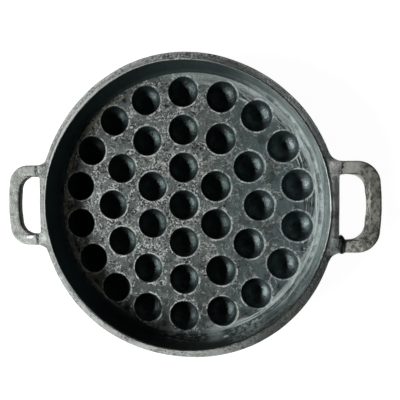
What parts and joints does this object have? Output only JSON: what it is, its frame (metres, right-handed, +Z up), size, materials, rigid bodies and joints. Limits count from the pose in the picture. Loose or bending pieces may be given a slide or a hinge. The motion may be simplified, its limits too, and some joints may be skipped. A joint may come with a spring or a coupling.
{
  "type": "paniyaram pan",
  "caption": "Round cast-iron pan with rings of hemispherical cups in its floor, a low flared wall and two loop handles, for round batter cakes.",
  "frame": {"origin": "on the pan's axis, at the surface that it stands on (the flat foot of the middle cup)", "axes": "+Z up out of the pan, +X through the right handle, +Y away from the cook"},
  "size_m": [0.483, 0.386, 0.0547],
  "materials": {
    "floor_iron": "seasoned and scuffed, near black in the cups",
    "rim_iron": "as cast outside, turned and oiled inside",
    "handle_iron": "as cast, with a faint flash line",
    "weld_iron": "rough dark weld bead"
  },
  "bodies": {
    "root": {"centre_cup": "floor_iron", "inner_cup_01": "floor_iron", "inner_cup_02": "floor_iron", "inner_cup_03": "floor_iron", "inner_cup_04": "floor_iron", "inner_cup_05": "floor_iron", "inner_cup_06": "floor_iron", "middle_cup_01": "floor_iron", "middle_cup_02": "floor_iron", "middle_cup_03": "floor_iron", "middle_cup_04": "floor_iron", "middle_cup_05": "floor_iron", "middle_cup_06": "floor_iron", "middle_cup_07": "floor_iron", "middle_cup_08": "floor_iron", "middle_cup_09": "floor_iron", "middle_cup_10": "floor_iron", "middle_cup_11": "floor_iron", "middle_cup_12": "floor_iron", "outer_cup_01": "floor_iron", "outer_cup_02": "floor_iron", "outer_cup_03": "floor_iron", "outer_cup_04": "floor_iron", "outer_cup_05": "floor_iron", "outer_cup_06": "floor_iron", "outer_cup_07": "floor_iron", "outer_cup_08": "floor_iron", "outer_cup_09": "floor_iron", "outer_cup_10": "floor_iron", "outer_cup_11": "floor_iron", "outer_cup_12": "floor_iron", "outer_cup_13": "floor_iron", "outer_cup_14": "floor_iron", "outer_cup_15": "floor_iron", "outer_cup_16": "floor_iron", "outer_cup_17": "floor_iron", "outer_cup_18": "floor_iron", "rim_wall": "rim_iron", "left_handle": "handle_iron", "right_handle": "handle_iron", "left_rear_weld": "weld_iron", "left_front_weld": "weld_iron", "right_rear_weld": "weld_iron", "right_front_weld": "weld_iron"}
  },
  "joints": []
}
